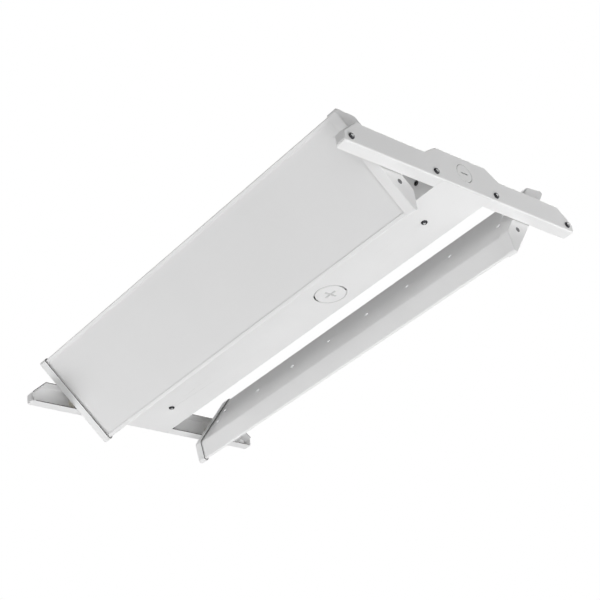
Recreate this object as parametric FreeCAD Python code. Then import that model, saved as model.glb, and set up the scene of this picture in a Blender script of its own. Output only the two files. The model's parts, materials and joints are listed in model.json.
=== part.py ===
import FreeCAD, Part
import math
import os

# High bay light: a channel that holds the driver, two end plates with arms, and two light panels
# that tilt between the arms. Millimetres, +Z up. The origin is the centre of the hanger slots, on
# the channel's top face. X runs along the light, the leads leave the channel near its +X end, and
# the left panel is on the -Y side.

V = FreeCAD.Vector
ORIGIN = V(0, 0, 0)
ALONG = V(1, 0, 0)
ACROSS = V(0, 1, 0)
UP = V(0, 0, 1)

# ---- driving dimensions ----
LENGTH = 610.0               # outside to outside of the end plates
FIT = 0.2                    # gap between sheets that are slid together
HOLE_FIT = 0.05              # radial gap round a screw or rivet in its hole

# channel and cover
CHANNEL_W = 74.0
CHANNEL_SHEET = 1.0
CHANNEL_LIP = 8.0
COVER_SHEET = 1.0
TAB_W = 16.8
TAB_H = 18.0
TAB_RISE = 2.5               # above the underside
HANGER_PITCH_X = 406.4
HANGER_PITCH_Y = 38.1
HANGER_SLOT_L = 16.0
HANGER_SLOT_W = 7.0
COVER_SCREW_INSET = 66.0     # from an end plate's inner face
STRAP_W = 20.0
STRAP_T = 1.5

# end plates
PLATE_SHEET = 1.0
PLATE_TIP_H = 12.0
PLATE_CHAMFER_W = 20.0
ARM_H = 29.5
ARM_REACH = 65.5             # from the pivot out to the tip
CENTRE_RISE = 12.5           # of the raised centre above the arms
CENTRE_MARGIN = 0.5          # of the raised centre's top beyond the channel
CENTRE_SLOPE_W = 19.2
FLANGE_D = 14.5
FLANGE_CORNER_R = 5.0
CORNER_SLIT = 0.8            # between the bottom flange and a tip's return flange
BEND_INSIDE_R = 1.0
CORNER_EXTRA_R = 1.0         # of the outline's corners over the bends

# knockouts
PLATE_KNOCKOUT_D = 22.2
PLATE_KNOCKOUT_CUTS = (135.0, 315.0)
PRY_SLOT_L = 9.5
PRY_SLOT_W = 2.0
COVER_KNOCKOUT_D = 38.0
COVER_KNOCKOUT_X = 76.0
COVER_KNOCKOUT_Y = 5.0
COVER_KNOCKOUT_CUTS = (15.0, 205.0)
CROSS_L = 17.0
CROSS_W = 3.0
PLATE_RING_W = 0.8           # width of a knockout's ring groove
COVER_RING_W = 1.8
GROOVE_D = 0.6
CUT_ARC = 45.0               # degrees of a knockout's ring that are cut right through

# lead bushings
BUSHING_INSET = 35.0         # from the end plate's inner face
BUSHING_RISE = 18.7          # above the underside
BUSHING_BORE_D = 3.4
BUSHING_NECK_D = 4.8
BUSHING_FLANGE_D = 6.0
BUSHING_FLANGE_T = 0.7
PANEL_BUSHING_INSET = 25.0   # from the end of the panel's pan
PANEL_BUSHING_U = 25.0       # from the panel's centre line, outwards

# screws at the end plates, under the cover and at the driver
SCREW_D = 4.0
SCREW_HEAD_D = 7.4
SCREW_HEAD_H = 2.2
SCREW_HEAD_R = 1.3
RECESS_W = 1.0
RECESS_L = 4.2
RECESS_D = 1.2
PLATE_SCREW_RISE = 7.8       # above the underside
PLATE_SCREW_L = 8.0
GUARD_SCREW_L = 4.5
GUARD_SCREW_INSET = 10.3     # from the arm's tip
GUARD_NUT_D = 7.6
GUARD_NUT_T = 5.0
GUARD_NUT_BORE = 4.0         # the nut is closed beyond it
COVER_SCREW_L = 6.0

# driver and terminal block
DRIVER_L = 320.0
DRIVER_W = 46.0
DRIVER_H = 30.0
DRIVER_R = 2.0
EAR_L = 12.0
EAR_W = 30.0
EAR_T = 2.0
TERMINAL_INSET = 42.0        # from the end plate's inner face
TERMINAL_L = 22.0
TERMINAL_W = 30.0
TERMINAL_H = 14.0
WIRE_WAYS = 3
WIRE_WAY_D = 3.4
WIRE_WAY_DEPTH = 9.0
WIRE_WAY_PITCH = 8.0

# light panels: u runs across a panel, outwards, and n from the front towards the back
PANEL_W = 127.2
PANEL_D = 19.5
PANEL_SHEET = 0.8
PANEL_FRONT_INSIDE_R = 0.4
PANEL_BACK_R = 6.0
PANEL_LIP = 4.8
PANEL_CLEARANCE = 4.4        # between a turning panel and the channel's wall
LENS_T = 1.5
LENS_FIT = 0.4
LENS_CLEARANCE = 0.7         # between the lens and the start of the pan's slopes
LEFT_TILT = 46.0
RIGHT_TILT = 53.0
CAP_GAP = 1.0                # between an end cap's face and the end plate's flange
CAP_SHEET = 1.0
CAP_FIT = 0.6                # gap between an end cap's rim and the pan
CAP_RIM = 12.5
CAP_BEND_R = 1.5             # outside radius between the face and the rim
CAP_EAR_W = 12.0
CAP_SCREW_U = 32.0
CAP_SCREW_D = 4.0
CAP_SCREW_L = 9.0
CAP_RECESS_L = 3.6
CAP_RECESS_W = 0.8
CAP_RECESS_D = 0.9

# pivots
STUD_D = 6.0
STUD_END = 1.2               # stud beyond the nut
BORE_FIT = 0.08              # radial running gap of a panel's bore on its stud
SPACER_D = 12.0
PIVOT_GAP = 0.3              # between a panel's end cap and what it turns against
WASHER_D = 12.5
WASHER_T = 1.0
WASHER_CLEARANCE = 0.55      # between the washer's rim and the pan's back
NUT_AF = 10.0
NUT_T = 5.0

# LED boards
BOARD_END_GAP = 16.3         # from the end of the pan
BOARD_W = 40.0
BOARD_T = 1.6
LED_L = 3.5
LED_W = 2.8
LED_T = 0.7
LED_PITCH = 18.1
LED_ROW_U = 9.0
LED_END_GAP = 18.0           # from the end of the board
RIVET_D = 3.2
RIVET_HEAD_D = 4.6
RIVET_HEAD_H = 0.9
RIVET_TAIL_H = 0.7
RIVET_COUNT = 6              # along the centre line
RIVET_PITCH = 72.5
RIVET_INSET_X = 9.0          # of the corner rivets from the board's ends
RIVET_INSET_U = 8.0          # and from its sides

# ---- places worked out from them ----
PLATE_INSIDE = LENGTH / 2 - PLATE_SHEET              # x of an end plate's inner face
PLATE_BEND_R = PLATE_SHEET + BEND_INSIDE_R
PLATE_CORNER_R = PLATE_BEND_R + CORNER_EXTRA_R
CENTRE_H = ARM_H + CENTRE_RISE
CENTRE_TOP_W = CHANNEL_W + 2 * CENTRE_MARGIN
CHANNEL_H = CENTRE_H - PLATE_SHEET - FIT
UNDER = -CHANNEL_H                                   # the underside, flush with the end plates
LIP_TOP = UNDER + COVER_SHEET + CHANNEL_SHEET
ROOF_INSIDE = -CHANNEL_SHEET
CHANNEL_END = PLATE_INSIDE - BEND_INSIDE_R - FIT     # clear of the end plates' bends
CHANNEL_SCREW_Y = (CHANNEL_W + TAB_W) / 2
COVER_SCREW_X = PLATE_INSIDE - COVER_SCREW_INSET
BUSHING_X = PLATE_INSIDE - BUSHING_INSET
TERMINAL_X = PLATE_INSIDE - TERMINAL_INSET
DRIVER_EAR_X = (DRIVER_L + EAR_L) / 2

PANEL_SIDE = PANEL_SHEET + LENS_T + LENS_CLEARANCE   # straight part of a side, at the front
PANEL_BACK_W = PANEL_W - 2 * (PANEL_D - PANEL_SIDE)  # the slopes run at 45 degrees
PANEL_FRONT_R = PANEL_SHEET + PANEL_FRONT_INSIDE_R
PAN_BACK_INSIDE = PANEL_D - PANEL_SHEET
CAP_OVERLAP = CAP_FIT + CAP_SHEET                        # of a cap's outside over the pan's
CAP_FACE = LENGTH / 2 - FLANGE_D - CAP_GAP           # x of an end cap's outer face
CAP_SCREW_N = PANEL_D / 2
CAP_SCREW_HEAD_D = CAP_SCREW_D + 2 * CAP_SHEET       # a flat head as deep as the cap's sheet
PAN_HALF = CAP_FACE - CAP_SHEET - FIT                # half the length of a panel's pan
PANEL_BUSHING_X = PAN_HALF - PANEL_BUSHING_INSET
BOARD_L = 2 * (PAN_HALF - BOARD_END_GAP)
LED_COUNT = int((BOARD_L - 2 * LED_END_GAP) / LED_PITCH) + 1
RIVET_END_X = BOARD_L / 2 - RIVET_INSET_X
RIVET_END_U = BOARD_W / 2 - RIVET_INSET_U

PIVOT_DEPTH = PAN_BACK_INSIDE - WASHER_D / 2 - WASHER_CLEARANCE   # behind the panel's front
SWING_R = math.hypot(PANEL_W / 2 + CAP_OVERLAP, PIVOT_DEPTH + CAP_OVERLAP)
PIVOT_Y = CHANNEL_W / 2 + PANEL_CLEARANCE + SWING_R
PIVOT_Z = UNDER + ARM_H / 2
SPACER_L = PLATE_INSIDE - CAP_FACE - PIVOT_GAP
WASHER_START = PLATE_INSIDE - CAP_FACE + CAP_SHEET + PIVOT_GAP
NUT_START = WASHER_START + WASHER_T
PLATE_TIP_Y = PIVOT_Y + ARM_REACH
GUARD_SCREW_Y = PLATE_TIP_Y - GUARD_SCREW_INSET


# ---- helpers ----
def box(x0, x1, y0, y1, z0, z1):
    return Part.makeBox(x1 - x0, y1 - y0, z1 - z0, V(x0, y0, z0))


def rod(diameter, start, direction, length):
    return Part.makeCylinder(diameter / 2, length, start, direction)


def moved(shape, offset):
    copy = shape.copy()
    copy.translate(offset)
    return copy


def turned(shape, centre, axis, degrees):
    copy = shape.copy()
    copy.rotate(centre, axis, degrees)
    return copy


def inset(points, depth):
    """Corners of the same outline with every side moved inwards; the points run anticlockwise."""
    count = len(points)
    corners = []
    for i in range(count):
        here = V(points[i][0], points[i][1], 0)
        before = (here - V(points[i - 1][0], points[i - 1][1], 0)).normalize()
        after = (V(points[(i + 1) % count][0], points[(i + 1) % count][1], 0) - here).normalize()
        inward_before = V(-before.y, before.x, 0)
        inward_after = V(-after.y, after.x, 0)
        both = inward_before + inward_after
        corner = here + both * (depth / (1 + inward_before.dot(inward_after)))
        corners.append((corner.x, corner.y))
    return corners


def rounded_outline(points, radii):
    """Closed wire in the plane X = 0 through points (y, z), with an arc at each corner."""
    count = len(points)
    starts = []
    ends = []
    edges = []
    for i in range(count):
        here = V(0, points[i][0], points[i][1])
        to_before = (V(0, points[i - 1][0], points[i - 1][1]) - here).normalize()
        to_after = (V(0, points[(i + 1) % count][0], points[(i + 1) % count][1]) - here).normalize()
        half_angle = to_before.getAngle(to_after) / 2
        reach = radii[i] / math.tan(half_angle)
        centre = here + (to_before + to_after).normalize() * (radii[i] / math.sin(half_angle))
        middle = centre + (here - centre).normalize() * radii[i]
        starts.append(here + to_before * reach)
        ends.append(here + to_after * reach)
        edges.append(Part.Arc(starts[i], middle, ends[i]).toShape())
    for i in range(count):
        edges.append(Part.makeLine(ends[i], starts[(i + 1) % count]))
    return Part.Wire(Part.__sortEdges__(edges))


def prism(wire, length):
    return Part.Face(wire).extrude(ALONG * length)


def end_edges(shape, x):
    """Edges that lie in the plane at this x."""
    return [edge for edge in shape.Edges
            if abs(edge.BoundBox.XMin - x) < 1e-6 and abs(edge.BoundBox.XMax - x) < 1e-6]


def ring_cut(diameter, width, depth, degrees, start_angle):
    """Part of a ring groove about +Z, from z = 0 up to the depth."""
    outer = Part.makeCylinder(diameter / 2 + width / 2, depth, ORIGIN, UP, degrees)
    inner = Part.makeCylinder(diameter / 2 - width / 2, depth, ORIGIN, UP, degrees)
    return turned(outer.cut(inner), ORIGIN, UP, start_angle)


def knockout_cuts(diameter, width, sheet, cut_angles):
    """Cutter for a knockout in a sheet from z = 0 up: a half-sheared ring with two through cuts."""
    cutter = ring_cut(diameter, width, GROOVE_D, 360, 0)
    for angle in cut_angles:
        cutter = cutter.fuse(ring_cut(diameter, width, sheet, CUT_ARC, angle - CUT_ARC / 2))
    return cutter


def pan_head_screw(length):
    """Screw along +Z whose head sits on z = 0 from below; the shank ends at z = length."""
    head = Part.makeCylinder(SCREW_HEAD_D / 2, SCREW_HEAD_H, V(0, 0, -SCREW_HEAD_H))
    rim = end_circle(head, -SCREW_HEAD_H)
    head = head.makeFillet(SCREW_HEAD_R, rim)
    screw = head.fuse(rod(SCREW_D, V(0, 0, -SCREW_HEAD_H / 2), UP, length + SCREW_HEAD_H / 2))
    for angle in (0, 90):
        slot = box(-RECESS_L / 2, RECESS_L / 2, -RECESS_W / 2, RECESS_W / 2,
                   -SCREW_HEAD_H, -SCREW_HEAD_H + RECESS_D)
        screw = screw.cut(turned(slot, ORIGIN, UP, angle))
    return screw


def end_circle(shape, z):
    return [edge for edge in shape.Edges
            if abs(edge.BoundBox.ZMin - z) < 1e-6 and abs(edge.BoundBox.ZMax - z) < 1e-6]


def at_tail(shape, point):
    """Stand a shape made along +Z at a point on the tail end, pointing along +X."""
    return moved(turned(shape, ORIGIN, ACROSS, 90), point)


def at_both_ends(shapes):
    """The shapes at the tail end and the same shapes, turned half round, at the lead end."""
    return list(shapes) + [turned(shape, ORIGIN, UP, 180) for shape in shapes]


def both_sides(shape_at):
    return [shape_at(side) for side in (-1, 1)]


# ---- end plates ----
def plate_outline():
    shoulder = PLATE_TIP_Y - PLATE_CHAMFER_W
    right = [(PLATE_TIP_Y, UNDER), (PLATE_TIP_Y, UNDER + PLATE_TIP_H),
             (shoulder, UNDER + ARM_H), (CENTRE_TOP_W / 2 + CENTRE_SLOPE_W, UNDER + ARM_H),
             (CENTRE_TOP_W / 2, UNDER + CENTRE_H)]
    left = [(-y, z) for y, z in reversed(right)]
    return right + left


def plate_radii(step):
    """Corner radii of the outline moved inwards by step; the arms' inner corners are hollow."""
    right = [PLATE_CORNER_R - step] * 3 + [PLATE_CORNER_R + step, PLATE_CORNER_R - step]
    return right + right[::-1]


def plate_body(step):
    """Solid inside the outline moved inwards by step, with its end edge rounded like a bend."""
    outline = rounded_outline(inset(plate_outline(), step), plate_radii(step))
    body = prism(outline, FLANGE_D)
    return body.makeFillet(PLATE_BEND_R - step, end_edges(body, 0))


def flange_corner(side):
    """Cutter that rounds the free corner of the bottom flange at a tip."""
    tip = side * PLATE_TIP_Y
    inner = side * (PLATE_TIP_Y - FLANGE_CORNER_R)
    square = box(FLANGE_D - FLANGE_CORNER_R, FLANGE_D, min(tip, inner), max(tip, inner),
                 UNDER, UNDER + PLATE_TIP_H)
    centre = V(FLANGE_D - FLANGE_CORNER_R, inner, UNDER)
    return square.cut(rod(2 * FLANGE_CORNER_R, centre, UP, PLATE_TIP_H))


def corner_slit(side):
    """Cutter between the bottom flange and the return flange at a tip, clear of the bends."""
    tip = side * PLATE_TIP_Y
    inner = side * (PLATE_TIP_Y - PLATE_CORNER_R)
    low = UNDER + PLATE_SHEET
    return box(PLATE_BEND_R, FLANGE_D, min(tip, inner), max(tip, inner), low, low + CORNER_SLIT)


def tail_end_plate():
    plate = plate_body(0).cut(moved(plate_body(PLATE_SHEET), ALONG * PLATE_SHEET))
    gap = CHANNEL_W / 2 + FIT
    plate = plate.cut(box(PLATE_SHEET, FLANGE_D, -gap, gap, UNDER, UNDER + PLATE_SHEET))
    for side in (-1, 1):
        plate = plate.cut(flange_corner(side)).cut(corner_slit(side))
        for y in (CHANNEL_SCREW_Y, GUARD_SCREW_Y):
            start = V(0, side * y, UNDER + PLATE_SCREW_RISE)
            plate = plate.cut(rod(SCREW_D + 2 * HOLE_FIT, start, ALONG, PLATE_SHEET))
    knockout = knockout_cuts(PLATE_KNOCKOUT_D, PLATE_RING_W, PLATE_SHEET, PLATE_KNOCKOUT_CUTS)
    pry_slot = box(-PRY_SLOT_W / 2, PRY_SLOT_W / 2, -PRY_SLOT_L / 2, PRY_SLOT_L / 2, 0, PLATE_SHEET)
    plate = plate.cut(at_tail(knockout.fuse(pry_slot), V(0, 0, UNDER + CENTRE_H / 2)))
    return moved(plate, ALONG * (-LENGTH / 2))


def plate_screws(y, length):
    def screw(side):
        point = V(-LENGTH / 2, side * y, UNDER + PLATE_SCREW_RISE)
        return at_tail(pan_head_screw(length), point)
    return at_both_ends(both_sides(screw))


def guard_nuts():
    def nut(side):
        start = V(-PLATE_INSIDE, side * GUARD_SCREW_Y, UNDER + PLATE_SCREW_RISE)
        body = rod(GUARD_NUT_D, start, ALONG, GUARD_NUT_T)
        return body.cut(rod(SCREW_D + 2 * HOLE_FIT, start, ALONG, GUARD_NUT_BORE))
    return at_both_ends(both_sides(nut))


# ---- channel, cover and what they hold ----
def channel():
    half = CHANNEL_W / 2
    body = box(-CHANNEL_END, CHANNEL_END, -half, half, UNDER + COVER_SHEET, 0)
    roof_edges = [edge for edge in body.Edges
                  if edge.BoundBox.XLength > CHANNEL_END and edge.BoundBox.ZMin > UNDER / 2]
    body = body.makeFillet(CHANNEL_SHEET, roof_edges)
    body = body.cut(box(-CHANNEL_END, CHANNEL_END, -half + CHANNEL_SHEET, half - CHANNEL_SHEET,
                        LIP_TOP, ROOF_INSIDE))
    opening = half - CHANNEL_LIP
    body = body.cut(box(-CHANNEL_END, CHANNEL_END, -opening, opening,
                        UNDER + COVER_SHEET, LIP_TOP))
    for tab in at_both_ends(both_sides(channel_tab)):
        body = body.fuse(tab)
    for x in (-HANGER_PITCH_X / 2, HANGER_PITCH_X / 2):
        for y in (-HANGER_PITCH_Y / 2, HANGER_PITCH_Y / 2):
            body = body.cut(hanger_slot(x, y))
    hole = BUSHING_NECK_D + 2 * HOLE_FIT
    start = V(BUSHING_X, -half, UNDER + BUSHING_RISE)
    body = body.cut(rod(hole, start, ACROSS, CHANNEL_W))
    for x in (-DRIVER_EAR_X, DRIVER_EAR_X):
        body = body.cut(rod(SCREW_D + 2 * HOLE_FIT, V(x, 0, ROOF_INSIDE), UP, CHANNEL_SHEET))
    return body.removeSplitter()


def channel_tab(side):
    """Tab bent outwards from a wall's tail end, against the end plate, with its screw's hole."""
    inner = side * (CHANNEL_W / 2 - CHANNEL_SHEET)
    wall = side * CHANNEL_W / 2
    outer = side * (CHANNEL_W / 2 + TAB_W)
    low = UNDER + TAB_RISE
    tab = box(-PLATE_INSIDE, -PLATE_INSIDE + CHANNEL_SHEET, min(inner, outer), max(inner, outer),
              low, low + TAB_H)
    neck = box(-PLATE_INSIDE, -CHANNEL_END, min(inner, wall), max(inner, wall), low, low + TAB_H)
    tab = tab.fuse(neck)
    start = V(-PLATE_INSIDE, side * CHANNEL_SCREW_Y, UNDER + PLATE_SCREW_RISE)
    return tab.cut(rod(SCREW_D + 2 * HOLE_FIT, start, ALONG, CHANNEL_SHEET))


def hanger_slot(x, y):
    straight = (HANGER_SLOT_L - HANGER_SLOT_W) / 2
    slot = box(x - straight, x + straight, y - HANGER_SLOT_W / 2, y + HANGER_SLOT_W / 2,
               ROOF_INSIDE, 0)
    for end in (x - straight, x + straight):
        slot = slot.fuse(rod(HANGER_SLOT_W, V(end, y, ROOF_INSIDE), UP, CHANNEL_SHEET))
    return slot


def driver_cover():
    half_length = PLATE_INSIDE - FIT
    cover = box(-half_length, half_length, -CHANNEL_W / 2, CHANNEL_W / 2, UNDER,
                UNDER + COVER_SHEET)
    knockout = knockout_cuts(COVER_KNOCKOUT_D, COVER_RING_W, COVER_SHEET, COVER_KNOCKOUT_CUTS)
    bar = box(-CROSS_L / 2, CROSS_L / 2, -CROSS_W / 2, CROSS_W / 2, 0, GROOVE_D)
    knockout = knockout.fuse(bar).fuse(turned(bar, ORIGIN, UP, 90))
    cover = cover.cut(moved(knockout, V(COVER_KNOCKOUT_X, COVER_KNOCKOUT_Y, UNDER)))
    for x in (-COVER_SCREW_X, COVER_SCREW_X):
        cover = cover.cut(rod(SCREW_D + 2 * HOLE_FIT, V(x, 0, UNDER), UP, COVER_SHEET))
    return cover


def cover_straps():
    """Cross straps on the channel's lips, each with the tapped hole of a cover screw."""
    straps = []
    half = CHANNEL_W / 2 - CHANNEL_SHEET - FIT
    for x in (-COVER_SCREW_X, COVER_SCREW_X):
        strap = box(x - STRAP_W / 2, x + STRAP_W / 2, -half, half, LIP_TOP, LIP_TOP + STRAP_T)
        hole = rod(SCREW_D + 2 * HOLE_FIT, V(x, 0, LIP_TOP), UP, STRAP_T)
        straps.append(strap.cut(hole))
    return straps


def cover_screws():
    return [moved(pan_head_screw(COVER_SCREW_L), V(x, 0, UNDER))
            for x in (-COVER_SCREW_X, COVER_SCREW_X)]


def driver():
    roof = ROOF_INSIDE
    case = box(-DRIVER_L / 2, DRIVER_L / 2, -DRIVER_W / 2, DRIVER_W / 2, roof - DRIVER_H, roof)
    lengthways = [edge for edge in case.Edges if edge.BoundBox.XLength > DRIVER_L / 2]
    case = case.makeFillet(DRIVER_R, lengthways)
    reach = DRIVER_L / 2 + EAR_L
    ears = box(-reach, reach, -EAR_W / 2, EAR_W / 2, roof - EAR_T, roof)
    for x in (-DRIVER_EAR_X, DRIVER_EAR_X):
        ears = ears.cut(rod(SCREW_D + 2 * HOLE_FIT, V(x, 0, roof - EAR_T), UP, EAR_T))
    return case.fuse(ears).removeSplitter()


def driver_screws():
    length = EAR_T + CHANNEL_SHEET - HOLE_FIT
    return [moved(pan_head_screw(length), V(x, 0, ROOF_INSIDE - EAR_T))
            for x in (-DRIVER_EAR_X, DRIVER_EAR_X)]


def terminal_block():
    block = box(TERMINAL_X - TERMINAL_L / 2, TERMINAL_X + TERMINAL_L / 2, -TERMINAL_W / 2,
                TERMINAL_W / 2, ROOF_INSIDE - TERMINAL_H, ROOF_INSIDE)
    for way in range(WIRE_WAYS):
        y = (way - (WIRE_WAYS - 1) / 2) * WIRE_WAY_PITCH
        z = ROOF_INSIDE - TERMINAL_H / 2
        for side in (-1, 1):
            start = V(TERMINAL_X + side * TERMINAL_L / 2, y, z)
            block = block.cut(rod(WIRE_WAY_D, start, ALONG * -side, WIRE_WAY_DEPTH))
    return block


def bushing(sheet):
    """Snap bushing along +Z in a sheet from z = 0 up: a flange on each face and a neck between."""
    body = rod(BUSHING_NECK_D, V(0, 0, -BUSHING_FLANGE_T), UP, sheet + 2 * BUSHING_FLANGE_T)
    for z in (-BUSHING_FLANGE_T, sheet):
        body = body.fuse(rod(BUSHING_FLANGE_D, V(0, 0, z), UP, BUSHING_FLANGE_T))
    bore = rod(BUSHING_BORE_D, V(0, 0, -BUSHING_FLANGE_T), UP, sheet + 2 * BUSHING_FLANGE_T)
    return body.cut(bore)


def channel_bushings():
    def on_wall(side):
        shape = turned(bushing(CHANNEL_SHEET), ORIGIN, ALONG, side * 90)
        return moved(shape, V(BUSHING_X, side * CHANNEL_W / 2, UNDER + BUSHING_RISE))
    return both_sides(on_wall)


# ---- pivots ----
def at_pivots(make):
    def one(side):
        return at_tail(make(), V(-PLATE_INSIDE, side * PIVOT_Y, PIVOT_Z))
    return at_both_ends(both_sides(one))


def pivot_stud():
    return rod(STUD_D, ORIGIN, UP, NUT_START + NUT_T + STUD_END)


def pivot_spacer():
    spacer = rod(SPACER_D, ORIGIN, UP, SPACER_L)
    return spacer.cut(rod(STUD_D + 2 * HOLE_FIT, ORIGIN, UP, SPACER_L))


def pivot_washer():
    washer = rod(WASHER_D, V(0, 0, WASHER_START), UP, WASHER_T)
    return washer.cut(rod(STUD_D + 2 * HOLE_FIT, V(0, 0, WASHER_START), UP, WASHER_T))


def pivot_nut():
    corner = NUT_AF / 2 / math.cos(math.radians(30))
    points = [V(corner * math.cos(math.radians(60 * i)), corner * math.sin(math.radians(60 * i)),
                NUT_START) for i in range(7)]
    nut = Part.Face(Part.makePolygon(points)).extrude(UP * NUT_T)
    return nut.cut(rod(STUD_D + 2 * HOLE_FIT, V(0, 0, NUT_START), UP, NUT_T))


# ---- light panels, made flat at the origin with y = u and z = n ----
def panel_outline():
    half = PANEL_W / 2
    back = PANEL_BACK_W / 2
    return [(-half, 0), (half, 0), (half, PANEL_SIDE), (back, PANEL_D), (-back, PANEL_D),
            (-half, PANEL_SIDE)]


def panel_radii(step):
    """Corner radii of the outline moved inwards by step."""
    return [PANEL_FRONT_R - step] * 3 + [PANEL_BACK_R - step] * 2 + [PANEL_FRONT_R - step]


def panel_prism(step, length):
    return prism(rounded_outline(inset(panel_outline(), step), panel_radii(step)), length)


def pan():
    outer = panel_prism(0, 2 * PAN_HALF)
    inner = panel_prism(PANEL_SHEET, 2 * PAN_HALF)
    front = PANEL_W / 2 - PANEL_LIP
    body = outer.cut(inner).cut(box(0, 2 * PAN_HALF, -front, front, 0, PANEL_SHEET))
    body = moved(body, ALONG * -PAN_HALF)
    for x in (-PAN_HALF, PAN_HALF - PANEL_SHEET):
        for u in (-CAP_SCREW_U, CAP_SCREW_U):
            ear = box(x, x + PANEL_SHEET, u - CAP_EAR_W / 2, u + CAP_EAR_W / 2,
                      CAP_SCREW_N - CAP_EAR_W / 2, PAN_BACK_INSIDE)
            hole = rod(CAP_SCREW_D + 2 * HOLE_FIT, V(x, u, CAP_SCREW_N), ALONG, PANEL_SHEET)
            body = body.fuse(ear.cut(hole))
    for x, u in rivet_places():
        body = body.cut(rod(RIVET_D + 2 * HOLE_FIT, V(x, u, PAN_BACK_INSIDE), UP, PANEL_SHEET))
    bushing_hole = rod(BUSHING_NECK_D + 2 * HOLE_FIT,
                       V(PANEL_BUSHING_X, PANEL_BUSHING_U, PAN_BACK_INSIDE), UP, PANEL_SHEET)
    return body.cut(bushing_hole).removeSplitter()


def lens():
    half = PANEL_W / 2 - PANEL_SHEET - LENS_FIT
    return box(-PAN_HALF, PAN_HALF, -half, half, PANEL_SHEET, PANEL_SHEET + LENS_T)


def end_cap():
    """Cap at the tail end: a face, and a rim all round that slides over the pan."""
    cap = panel_prism(-CAP_OVERLAP, CAP_RIM)
    cap = cap.makeFillet(CAP_BEND_R, end_edges(cap, 0))
    pocket = panel_prism(-CAP_FIT, CAP_RIM)
    pocket = pocket.makeFillet(CAP_BEND_R - CAP_SHEET, end_edges(pocket, 0))
    cap = cap.cut(moved(pocket, ALONG * CAP_SHEET))
    cap = cap.cut(rod(STUD_D + 2 * BORE_FIT, V(0, 0, PIVOT_DEPTH), ALONG, CAP_SHEET))
    for u in (-CAP_SCREW_U, CAP_SCREW_U):
        cap = cap.cut(moved(countersunk(HOLE_FIT), V(0, u, CAP_SCREW_N)))
    return moved(cap, ALONG * -CAP_FACE)


def countersunk(extra):
    """Flat-headed screw along +X, its head flush at x = 0, with this much added all round."""
    head = Part.makeCone(CAP_SCREW_HEAD_D / 2 + extra, CAP_SCREW_D / 2 + extra, CAP_SHEET, ORIGIN,
                         ALONG)
    return head.fuse(rod(CAP_SCREW_D + 2 * extra, ORIGIN, ALONG, CAP_SCREW_L))


def cap_screws():
    screws = []
    for u in (-CAP_SCREW_U, CAP_SCREW_U):
        screw = countersunk(0)
        for angle in (0, 90):
            slot = box(0, CAP_RECESS_D, -CAP_RECESS_L / 2, CAP_RECESS_L / 2,
                       -CAP_RECESS_W / 2, CAP_RECESS_W / 2)
            screw = screw.cut(turned(slot, ORIGIN, ALONG, angle))
        screws.append(moved(screw, V(-CAP_FACE, u, CAP_SCREW_N)))
    return at_both_ends(screws)


def led_board():
    top = PAN_BACK_INSIDE
    board = box(-BOARD_L / 2, BOARD_L / 2, -BOARD_W / 2, BOARD_W / 2, top - BOARD_T, top)
    for x, u in rivet_places():
        board = board.cut(rod(RIVET_D + 2 * HOLE_FIT, V(x, u, top - BOARD_T), UP, BOARD_T))
    return board


def leds():
    base = PAN_BACK_INSIDE - BOARD_T
    packages = []
    for i in range(LED_COUNT):
        x = (i - (LED_COUNT - 1) / 2) * LED_PITCH
        for u in (-LED_ROW_U, LED_ROW_U):
            packages.append(box(x - LED_L / 2, x + LED_L / 2, u - LED_W / 2, u + LED_W / 2,
                                base - LED_T, base))
    return packages


def rivet_places():
    places = [((i - (RIVET_COUNT - 1) / 2) * RIVET_PITCH, 0) for i in range(RIVET_COUNT)]
    for x in (-RIVET_END_X, RIVET_END_X):
        for u in (-RIVET_END_U, RIVET_END_U):
            places.append((x, u))
    return places


def board_rivets():
    """Rivets through the pan's back and the board: a domed head outside and a set tail inside."""
    grip = PANEL_SHEET + BOARD_T
    rise = RIVET_HEAD_H
    ball_r = (RIVET_HEAD_D ** 2 / 4 + rise ** 2) / (2 * rise)
    ball = Part.makeSphere(ball_r, V(0, 0, PANEL_D + rise - ball_r))
    dome = ball.common(rod(RIVET_HEAD_D, V(0, 0, PANEL_D), UP, 2 * rise))
    shank = rod(RIVET_D, V(0, 0, PANEL_D - grip), UP, grip)
    tail = rod(RIVET_HEAD_D, V(0, 0, PANEL_D - grip - RIVET_TAIL_H), UP, RIVET_TAIL_H)
    rivet = dome.fuse(shank).fuse(tail)
    return [moved(rivet, V(x, u, 0)) for x, u in rivet_places()]


def panel_bushing():
    return moved(bushing(PANEL_SHEET), V(PANEL_BUSHING_X, PANEL_BUSHING_U, PAN_BACK_INSIDE))


def panel_pieces():
    cap = end_cap()
    return {
        "pan": [pan()],
        "lens": [lens()],
        "lead_cap": [turned(cap, ORIGIN, UP, 180)],
        "tail_cap": [cap],
        "cap_screws": cap_screws(),
        "led_board": [led_board()],
        "leds": leds(),
        "board_rivets": board_rivets(),
        "panel_bushing": [panel_bushing()],
    }


def placed(shape, side, tilt):
    """Carry a piece of a flat panel to its arm on this side, and tilt it outwards."""
    if side < 0:
        shape = shape.mirror(ORIGIN, ACROSS)
    shape = moved(shape, V(0, side * PIVOT_Y, PIVOT_Z - PIVOT_DEPTH))
    return turned(shape, V(0, side * PIVOT_Y, PIVOT_Z), ALONG, side * tilt)


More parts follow.
